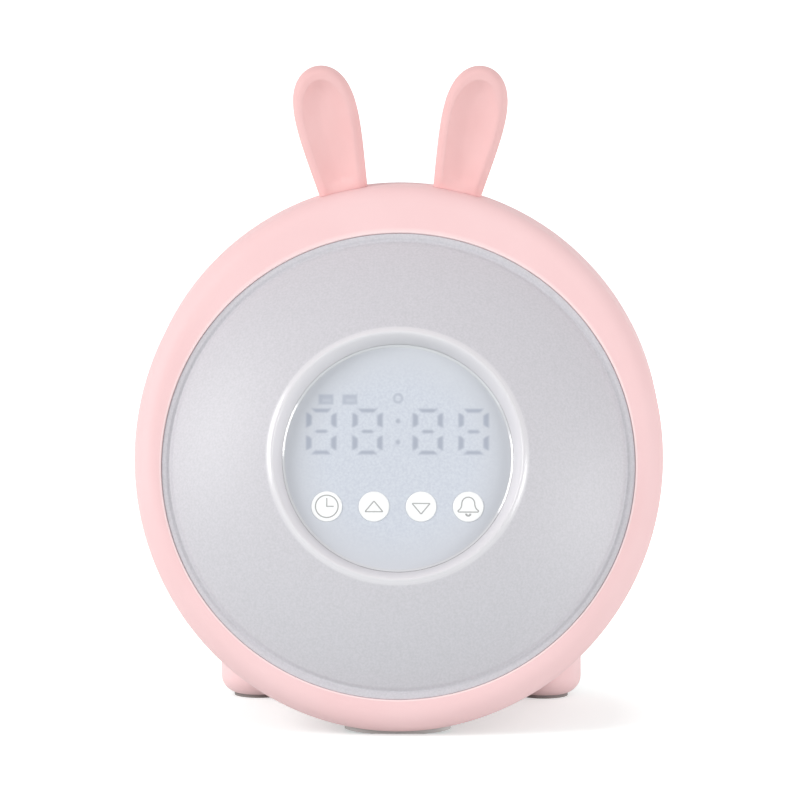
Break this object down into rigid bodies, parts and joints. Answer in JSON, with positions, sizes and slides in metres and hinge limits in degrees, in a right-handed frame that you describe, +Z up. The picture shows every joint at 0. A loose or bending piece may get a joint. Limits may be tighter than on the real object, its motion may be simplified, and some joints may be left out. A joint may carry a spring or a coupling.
{
  "type": "kids alarm clock with night light",
  "caption": "Round bedside alarm clock on small feet, with two silicone ears, a frosted dome night light and a recessed clock window with push keys.",
  "frame": {"origin": "on the table, in the middle of the footprint's box", "axes": "+Z up, -Y out of the front of the clock, +X to the right of someone facing the clock"},
  "size_m": [0.17, 0.101, 0.2096],
  "materials": {
    "pink_shell": "matte",
    "frosted_dome": "satin",
    "smoked_window": "gloss",
    "white_keys": "satin",
    "white_abs": "satin",
    "black_abs": "matte",
    "pink_silicone": "matte",
    "grey_silicone": "matte",
    "black_foam": "matte",
    "circuit_board": "satin",
    "white_board": "satin",
    "led_package": "satin",
    "milky_segments": "satin",
    "white_display": "matte",
    "epoxy_black": "matte",
    "aluminium_can": "satin",
    "nickel_steel": "satin",
    "zinc_screw": "satin",
    "stamped_steel": "satin",
    "ferrite": "matte",
    "paper_cone": "matte",
    "lead_ribbon": "satin"
  },
  "bodies": {
    "housing": {"front_housing": "pink_shell", "rear_housing": "pink_shell", "light_dome": "frosted_dome", "clock_window": "smoked_window", "key_switches": "black_abs", "display_segments": "milky_segments", "display_block": "white_display", "display_board": "circuit_board", "display_cup": "white_abs", "reflector_pan": "white_abs", "lamp_board": "white_board", "lamps": "led_package", "main_board": "circuit_board", "board_chips": "epoxy_black", "capacitors": "aluminium_can", "power_socket": "nickel_steel", "button_switch": "black_abs", "slider_switch": "black_abs", "coin_cell": "nickel_steel", "cell_contacts": "nickel_steel", "speaker_gasket": "black_foam", "speaker_frame": "stamped_steel", "speaker_magnet": "ferrite", "speaker_cone": "paper_cone", "flat_lead": "lead_ribbon", "lead_plugs": "white_abs", "ear_left": "pink_silicone", "ear_right": "pink_silicone", "ear_clips": "zinc_screw", "foot_left": "pink_shell", "foot_right": "pink_shell", "foot_pads": "grey_silicone", "front_pad": "grey_silicone", "case_screws": "zinc_screw", "reflector_screws": "zinc_screw", "lamp_board_screws": "zinc_screw", "display_screws": "zinc_screw", "cup_screws": "zinc_screw", "main_board_screws": "zinc_screw", "speaker_screws": "zinc_screw", "foot_screws": "zinc_screw"},
    "clock_key": {"clock_key": "white_keys"},
    "up_key": {"up_key": "white_keys"},
    "down_key": {"down_key": "white_keys"},
    "alarm_key": {"alarm_key": "white_keys"},
    "light_button": {"light_button": "white_keys"},
    "lock_slider": {"lock_slider": "white_keys"},
    "cell_door": {"cell_door": "pink_shell"}
  },
  "joints": [
    {"name": "clock_key_press", "type": "slide", "parent": "housing", "child": "clock_key", "axis": [0, 0.9511, -0.309], "range_m": [0, 0.0007], "stiffness_N_per_m": 300, "springref_m": -0.001},
    {"name": "up_key_press", "type": "slide", "parent": "housing", "child": "up_key", "axis": [0, 0.9511, -0.309], "range_m": [0, 0.0007], "stiffness_N_per_m": 300, "springref_m": -0.001},
    {"name": "down_key_press", "type": "slide", "parent": "housing", "child": "down_key", "axis": [0, 0.9511, -0.309], "range_m": [0, 0.0007], "stiffness_N_per_m": 300, "springref_m": -0.001},
    {"name": "alarm_key_press", "type": "slide", "parent": "housing", "child": "alarm_key", "axis": [0, 0.9511, -0.309], "range_m": [0, 0.0007], "stiffness_N_per_m": 300, "springref_m": -0.001},
    {"name": "light_button_press", "type": "slide", "parent": "housing", "child": "light_button", "axis": [0, -1, 0], "range_m": [0, 0.0007], "stiffness_N_per_m": 300, "springref_m": -0.001},
    {"name": "lock_slide", "type": "slide", "parent": "housing", "child": "lock_slider", "axis": [-1, 0, 0], "range_m": [0, 0.004]},
    {"name": "cell_door_turn", "type": "hinge", "parent": "housing", "child": "cell_door", "pos_m": [0.02, 0.05063, 0.056], "axis": [0, 1, 0], "range_deg": [0, 60]}
  ]
}
